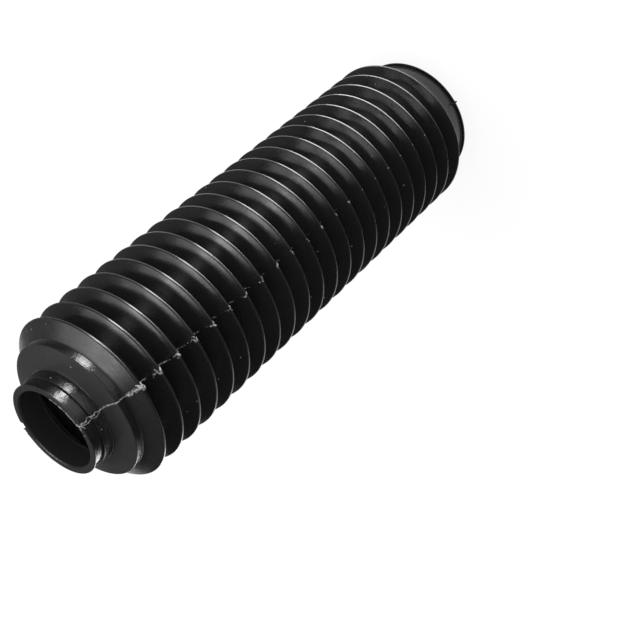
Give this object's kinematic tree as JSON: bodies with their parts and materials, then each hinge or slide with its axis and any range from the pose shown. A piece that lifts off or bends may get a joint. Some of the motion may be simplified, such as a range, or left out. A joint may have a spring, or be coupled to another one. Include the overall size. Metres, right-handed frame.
{
  "type": "rubber bellows",
  "caption": "Folded rubber tube that slides over a motorbike's front fork leg and keeps dirt off it, with a narrow neck and a wide collar that each take a clamping band.",
  "frame": {"origin": "centre of the wide collar's open end face, on the axis", "axes": "+Z along the axis, from the wide collar to the narrow neck; the mould's parting line lies in the plane of X and Z"},
  "size_m": [0.074, 0.074, 0.251],
  "materials": {
    "rubber": "black moulded rubber with a soft gloss"
  },
  "bodies": {
    "root": {"bellows": "rubber"}
  },
  "joints": []
}
